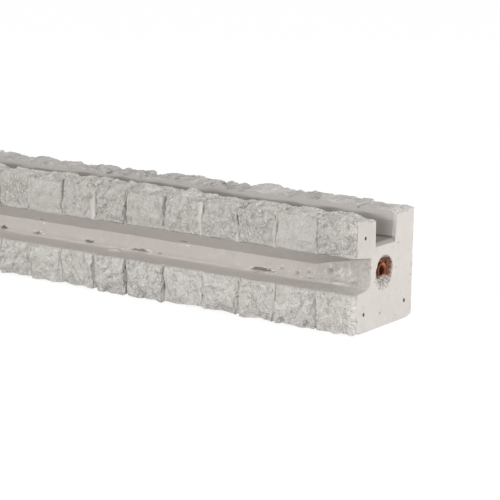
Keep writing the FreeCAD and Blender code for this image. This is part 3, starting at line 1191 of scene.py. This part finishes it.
def stoneMarks(finish):
    # chips, slanting strokes and creases of the broken stones, shown with painted highlights and painted
    # shade; gives their relief
    rough, rock, hollow = finish.rough, finish.rock, finish.field("hollow")
    chips = finish.facets(5.5 * mm, 2.0 * mm, finish.place)
    chips = chips + 0.5 * finish.facets(2.4 * mm, 1.0 * mm, finish.place)
    chips = chips * (0.25 + rough * 0.75) * rock
    oneWay = finish.clouds(13 * mm, 3.0).ramp(0.42, 0.58)
    worked = finish.clouds(10 * mm, 3.0).ramp(0.38, 0.54) * (0.40 + rough * 0.60) * rock
    strokes, cuts, edges = 0.0, 0.0, 0.0
    for share, lean in ((oneWay, 62), (1.0 - oneWay, -58)):
        drawn = finish.leaning(lean, 2.4)
        strokes = strokes + share * finish.facets(2.0 * mm, 1.0 * mm, drawn)
        cuts = cuts + share * finish.cracks(4.2 * mm, 1.5 * mm, drawn).ramp(0.11, 0.03)
        edges = edges + share * finish.cracks(4.2 * mm, 1.5 * mm, drawn, 0.9 * mm).ramp(0.11, 0.03)
    strokes, cuts, edges = strokes * worked, cuts * worked, edges * worked
    creased = finish.clouds(9 * mm, 3.0).ramp(0.50, 0.66) * rock * rough.ramp(0.15, 0.7)
    slanted = finish.leaning(52, 2.2)
    creases = finish.cracks(9 * mm, 6 * mm, slanted).ramp(0.06, 0.015) * creased
    litCreases = finish.cracks(9 * mm, 6 * mm, slanted, 1.3 * mm).ramp(0.06, 0.015) * creased
    flanks = rough.ramp(0.005, 0.04) * finish.plain
    # painted highlights on the raised chips and strokes, painted shade in their low parts
    finish.paint(chips.ramp(0.10, 0.55) * 0.42, concrete["chipHighlight"])
    finish.paint(chips.ramp(-0.15, -0.55) * 0.18, concrete["chipShade"])
    finish.paint(strokes.ramp(0.12, 0.34) * 0.45, concrete["strokeHighlight"])
    finish.paint(strokes.ramp(-0.14, -0.36) * 0.34, concrete["strokeShade"])
    # painted highlights beside the crack lines and painted shade in them
    finish.paint(edges * 0.50, concrete["edgeHighlight"])
    finish.paint(cuts * 0.44, concrete["crackShade"])
    # painted highlights on crests and on the rims of flaws, painted shade in hollows and in the flaws
    finish.paint(hollow.ramp(0.25, 1.3) * rock * 0.32, concrete["crestHighlight"])
    finish.paint(hollow.ramp(-0.20, -1.0) * rock * 0.28, concrete["hollowShade"])
    finish.paint(hollow.ramp(0.20, 0.80) * finish.plain * 0.60, concrete["rimHighlight"])
    finish.paint(hollow.ramp(-0.15, -0.80) * finish.plain * 0.75, concrete["flawShade"])
    # painted highlight on the smooth flanks, stronger on the low band
    finish.paint(flanks * (0.14 + 0.30 * finish.lowBand), concrete["flankHighlight"])
    # painted highlights beside the creases and painted shade in them
    finish.paint(litCreases * 0.35, concrete["edgeHighlight"])
    finish.paint(creases * 0.30, concrete["creaseShade"])
    plates = (finish.plates(9 * mm, 7 * mm) * 0.55 + finish.plates(4.2 * mm, 3.5 * mm) * 0.35) * rough * rock
    grit = finish.clouds(1.3 * mm, 2.0, 0.6) * (0.12 + 0.18 * rock) + finish.speck * (0.15 * rock)
    return chips * 0.6 + strokes * 0.25 + plates + grit - creases * 0.15


def castMarks(finish):
    # pores in the smooth faces, with painted shade inside them; also sunk in the relief
    away, lot = finish.cells(9 * mm, finish.place), finish.lot(9 * mm, finish.place)
    pores = away.ramp(0.10, 0.05) * lot.ramp(0.72, 0.88) * finish.plain
    finish.paint(pores * 0.4, concrete["poreShade"])
    return pores


def topSlotGrime(finish):
    # painted shade low down in the top slot, most of it on the floor towards the socket end
    inSlot = (finish.y * finish.y).ramp((19.5 * mm) ** 2, (18.2 * mm) ** 2)
    inSlot = inSlot * finish.z.ramp(topZ - 33 * mm, topZ - 31.8 * mm) * finish.offEnd
    nearEnd = finish.x.ramp(endX - 80 * mm, endX - 20 * mm)
    wall = 0.08 + finish.z.ramp(topZ - 6 * mm, topZ - 16 * mm) * (0.20 + 0.10 * nearEnd)
    floor = finish.z.ramp(topZ - 24.5 * mm, topZ - 26.4 * mm)
    deepFloor = floor * nearEnd * finish.x.ramp(endX - 1.5 * mm, endX - 3 * mm)
    finish.paint(inSlot * (wall + floor * 0.60), concrete["slotShade"])
    finish.paint(inSlot * deepFloor * 0.80, concrete["slotFloorShade"])


def farBandGrey(finish):
    # the far top stones and the slot wall below them are greyer
    stones = finish.y.ramp(19 * mm, 22 * mm) * finish.z.ramp(topZ - 9 * mm, topZ - 3 * mm) * finish.rock
    wall = finish.y.ramp(13 * mm, 15 * mm) * finish.y.ramp(20.5 * mm, 19.5 * mm) * finish.plain
    wall = wall * finish.z.ramp(topZ - 27 * mm, topZ - 24 * mm)
    finish.paint(stones * 0.42, concrete["farStoneGrey"])
    finish.paint(wall * (0.25 + 0.40 * finish.splash), concrete["farWallGrey"])


def frontSlotWear(finish):
    # the last stretch of the front slot is scuffed and greyer, with painted shade on its upper wall; its
    # lower wall gets painted light inside and is darker towards its arris
    inSlot = finish.y.ramp(-24 * mm, -27 * mm)
    scuff = finish.clouds(6 * mm, 6.0, 0.8)
    scuffed = finish.x.ramp(endX - 100 * mm, endX - 35 * mm) * finish.x.ramp(endX - 0.3 * mm, endX - 2.5 * mm)
    scuffed = scuffed * inSlot * finish.plain
    finish.paint(scuffed * scuff.ramp(0.58, 0.36) * 0.60, concrete["scuffDark"])
    finish.paint(scuffed * scuff.ramp(0.58, 0.66) * 0.50, concrete["scuffPale"])
    # painted light on the lower wall deep in the slot, where it lies in shade near the floor; a darker tone
    # towards its arris
    ledge = finish.z.ramp(39.8 * mm, 40.4 * mm) * finish.z.ramp(45.6 * mm, 44.4 * mm)
    ledge = ledge * finish.y.ramp(-20 * mm, -25 * mm) * finish.offEnd * finish.plain
    outer = finish.y.ramp(-34 * mm, -54 * mm)
    finish.paint(ledge * (1.0 - outer) * 0.55, concrete["ledgeLight"])
    finish.paint(ledge * outer * 0.14, concrete["ledgeDark"])
    # greyer towards the socket end, with painted shade on the upper wall there that keeps it as dark as where
    # it is shaded further along
    near = (finish.x + (finish.patch - 0.5) * 30 * mm).ramp(endX - 150 * mm, endX - 60 * mm)
    near = near * finish.x.ramp(endX, endX - 0.6 * mm) * inSlot * finish.plain
    upperWall = finish.z.ramp(61.5 * mm, 63.0 * mm) * finish.y.ramp(-28.5 * mm, -30 * mm)
    finish.paint(near * (0.10 + 0.12 * upperWall), concrete["frontGreyAndShade"])


def recessCrumbs(finish):
    # bare crumbled concrete in the recess and on the face round its lower edge
    crumbs = finish.clouds(2.6 * mm, 4.0, 0.75)
    away = finish.distance(endX - 4 * mm, socketAxis.y, socketAxis.z)
    edge = finish.distance(endX, socketAxis.y - 2 * mm, socketAxis.z - 4 * mm) + (crumbs - 0.5) * 10 * mm
    within = away.ramp(18 * mm, 16.5 * mm) * finish.x.ramp(endX - 0.1 * mm, endX - 0.9 * mm)
    within = within + edge.ramp(16.3 * mm, 14 * mm) * finish.x.ramp(endX - 0.9 * mm, endX - 0.1 * mm)
    finish.paint(within * crumbs.ramp(0.58, 0.42) * 0.75, concrete["crumbDark"])
    finish.paint(within * crumbs.ramp(0.57, 0.66) * 0.6, concrete["crumbPale"])


def endGrime(finish):
    # the end face is greyer towards its front top corner
    corner = finish.distance(endX, -52 * mm, 108 * mm) + (finish.patch - 0.5) * 20 * mm
    grime = corner.ramp(52 * mm, 12 * mm) * finish.x.ramp(endX - 1 * mm, endX)
    finish.paint(grime * 0.30, concrete["endGrime"])


def recessStain(finish):
    # rust has run over the middle of the recess and leaves its top and its bottom bare
    x, y, z = endX - 4 * mm, socketAxis.y + 1.0 * mm, socketAxis.z
    ragged = (finish.patch - 0.5) * 10 * mm
    up = finish.z + ragged
    stain = up.ramp(z - 9.5 * mm, z - 5.5 * mm) * up.ramp(z + 15.5 * mm, z + 12 * mm)
    stain = stain * (finish.distance(x, y, z + 4.0 * mm) + ragged).ramp(18.5 * mm, 14.0 * mm)
    stain = stain * finish.x.ramp(endX + 0.1 * mm, endX - 0.8 * mm)
    finish.paint(stain * 0.90, finish.speck.ramp(0.40, 0.62).blend(*concrete["stainTones"]))


concreteFinish().cover(body)
print("concrete finished")


# steel: the rusty socket with mortar on its lower lip, and the cut wires

steel = {
    "rustTones": ((0.130, 0.036, 0.020), (0.215, 0.068, 0.036)),
    "freshRust": (0.400, 0.165, 0.070),
    "rustDark": (0.060, 0.020, 0.012),
    "mortarTones": ((0.280, 0.256, 0.232), (0.720, 0.690, 0.660)),
    "rustRoughness": 0.85,
    "rustSpecular": 0.15,
    "rustDepth": 0.4 * mm,
    "rustStrength": 0.8,
    "wireTones": ((0.035, 0.030, 0.026), (0.10, 0.08, 0.065)),
    "wireRoughness": 0.7,
    "wireSpecular": 0.5,
    "wireMetal": 0.4,
}


def rustFinish():
    finish = Finish("rustySteel")
    patch = finish.clouds(5 * mm, 4.0, 0.65)
    grain = finish.clouds(1.2 * mm, 3.0, 0.6)
    crumbs = finish.clouds(2.6 * mm, 4.0, 0.75)
    fresh = finish.distance(socketHigh.x, socketAxis.y + 4 * mm, socketAxis.z + 6 * mm)
    fresh = (fresh + (patch - 0.5) * 10 * mm).ramp(6.0 * mm, 2.5 * mm)
    lip = (finish.z + (patch - 0.5) * 9 * mm).ramp(socketAxis.z - 4.0 * mm, socketAxis.z - 6.0 * mm)
    lip = lip * finish.x.ramp(socketHigh.x - 3.0 * mm, socketHigh.x - 1.5 * mm)
    finish.tone = patch.ramp(0.35, 0.7).blend(*steel["rustTones"])
    finish.paint(fresh * 0.75, steel["freshRust"])
    finish.paint(grain.ramp(0.5, 0.75) * 0.35, steel["rustDark"])
    finish.paint(lip * 0.9, crumbs.ramp(0.40, 0.60).blend(*steel["mortarTones"]))
    finish.apply(steel["rustRoughness"], steel["rustSpecular"], grain, steel["rustDepth"],
                 steel["rustStrength"])
    return finish


def wireFinish():
    finish = Finish("wireSteel")
    grain = finish.clouds(1.0 * mm, 3.0, 0.6)
    finish.tone = grain.ramp(0.4, 0.7).blend(*steel["wireTones"])
    finish.apply(steel["wireRoughness"], steel["wireSpecular"])
    finish.surface.inputs["Metallic"].default_value = steel["wireMetal"]
    return finish


rustFinish().cover(tube)
wireSteel = wireFinish()
for name in sorted(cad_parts):
    if name.startswith("wire"):
        wireSteel.cover(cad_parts[name])
print("steel finished")


# studio: pale floor, soft surround, and lamps towards the front, the top and the socket end

studio = {
    "aim": (0.7, 0.0, 0.06),
    "lamps": (                    # name, place, energy, width and height
        ("keyLight", (1.02, -2.58, 0.50), 33.0, 1.6, 0.09),
        ("skyLight", (0.6, -0.4, 2.1), 10.0, 2.0, 2.0),
        ("endLight", (2.95, 0.85, 0.55), 38.0, 1.0, 1.0),
    ),
    "surround": 0.62,
    "floorSize": 12.0,
    "floorTone": 0.5,
    "floorGlow": 1.2,
    "floorShown": 0.75,           # share of the floor that glows; the rest takes the post's shadow
}


def addLamp(name, spot, energy, wide, high):
    deselectAll()
    turn = (Vector(studio["aim"]) - Vector(spot)).to_track_quat("-Z", "Y").to_euler()
    bpy.ops.object.light_add(type="AREA", location=spot, rotation=turn)
    lamp = bpy.context.object
    lamp.name = name
    lamp.data.shape = "RECTANGLE"
    lamp.data.energy = energy
    lamp.data.size = wide
    lamp.data.size_y = high


def seenRays(tree):
    # 1 for what the camera sees, straight or in a shiny or clear surface
    path = addNode(tree, "ShaderNodeLightPath")
    rays = ("Is Camera Ray", "Is Glossy Ray", "Is Transmission Ray")
    camera, glossy, clear = (Signal(tree, path.outputs[name]) for name in rays)
    return camera.math("MAXIMUM", camera.math("MAXIMUM", camera, glossy), clear)


def mixShaders(tree, share, plain, shown, output):
    mix = addNode(tree, "ShaderNodeMixShader", None, {0: share})
    tree.links.new(plain.outputs[0], mix.inputs[1])
    tree.links.new(shown.outputs[0], mix.inputs[2])
    tree.links.new(mix.outputs[0], tree.nodes[output].inputs["Surface"])


def addFloor():
    deselectAll()
    bpy.ops.mesh.primitive_plane_add(size=studio["floorSize"], location=(0, 0, 0))
    floor = namedPrimitive("floor")
    paper = bpy.data.materials.new("palePaper")
    paper.use_nodes = True
    tree = paper.node_tree
    matt = tree.nodes["Principled BSDF"]
    matt.inputs["Base Color"].default_value = (studio["floorTone"],) * 3 + (1,)
    matt.inputs["Roughness"].default_value = 0.9
    glow = addNode(tree, "ShaderNodeEmission", None, {"Color": (1, 1, 1, 1), "Strength": studio["floorGlow"]})
    mixShaders(tree, seenRays(tree) * studio["floorShown"], matt, glow, "Material Output")
    floor.data.materials.append(paper)


def addSurround():
    world = bpy.data.worlds.new("surround")
    bpy.context.scene.world = world
    world.use_nodes = True
    tree = world.node_tree
    light = tree.nodes["Background"]
    light.inputs["Color"].default_value = (1, 1, 1, 1)
    light.inputs["Strength"].default_value = studio["surround"]
    white = addNode(tree, "ShaderNodeBackground", None, {"Color": (1, 1, 1, 1), "Strength": 1.0})
    mixShaders(tree, seenRays(tree), light, white, "World Output")


addFloor()
addSurround()
for lamp in studio["lamps"]:
    addLamp(*lamp)
bpy.context.scene.view_settings.view_transform = "Standard"

print("scene ready")
